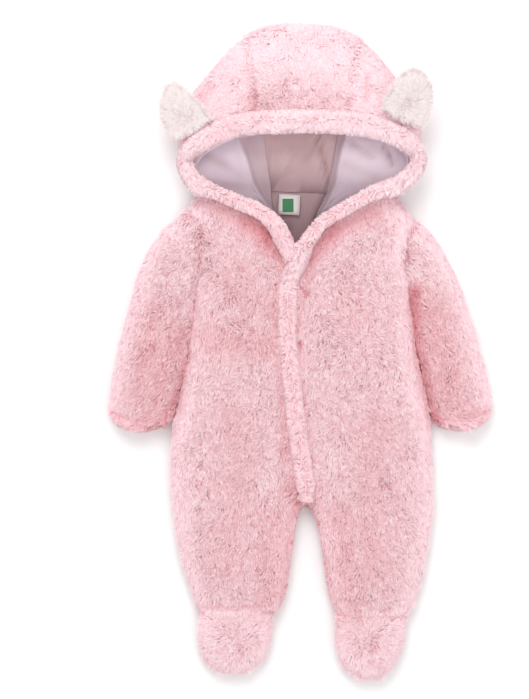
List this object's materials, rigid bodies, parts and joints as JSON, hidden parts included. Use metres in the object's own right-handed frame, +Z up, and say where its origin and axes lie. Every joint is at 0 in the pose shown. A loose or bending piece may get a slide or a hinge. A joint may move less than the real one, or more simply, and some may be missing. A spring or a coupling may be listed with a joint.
{
  "type": "hooded fleece romper",
  "caption": "Baby's padded long-pile fleece romper with eared hood, long sleeves, snap front under a rolled band and built-in feet, lying flat face up.",
  "frame": {"origin": "centre of the bounding box on the surface the garment lies on", "axes": "+X across the garment to the right as seen from above, +Y from the feet to the hood, +Z up from the surface through the front"},
  "size_m": [0.4568, 0.779, 0.072],
  "materials": {
    "fleece": "long pile, pink",
    "band": "long pile, pale pink",
    "ear_plush": "short pile, off-white",
    "lining": "brushed jersey, mauve pink",
    "label_tape": "woven tape"
  },
  "bodies": {
    "root": {"back_panel": "fleece", "front_left": "fleece", "front_right": "fleece", "sleeve_left": "fleece", "sleeve_right": "fleece", "foot_upper_left": "fleece", "foot_upper_right": "fleece", "foot_sole_left": "fleece", "foot_sole_right": "fleece", "hood_left": "fleece", "hood_centre": "fleece", "hood_right": "fleece", "hood_lining_left": "lining", "hood_lining_centre": "lining", "hood_lining_right": "lining", "back_lining": "lining", "hood_rim": "band", "placket": "band", "ear_front_left": "ear_plush", "ear_front_right": "ear_plush", "ear_back_left": "band", "ear_back_right": "band", "label": "label_tape"}
  },
  "joints": []
}
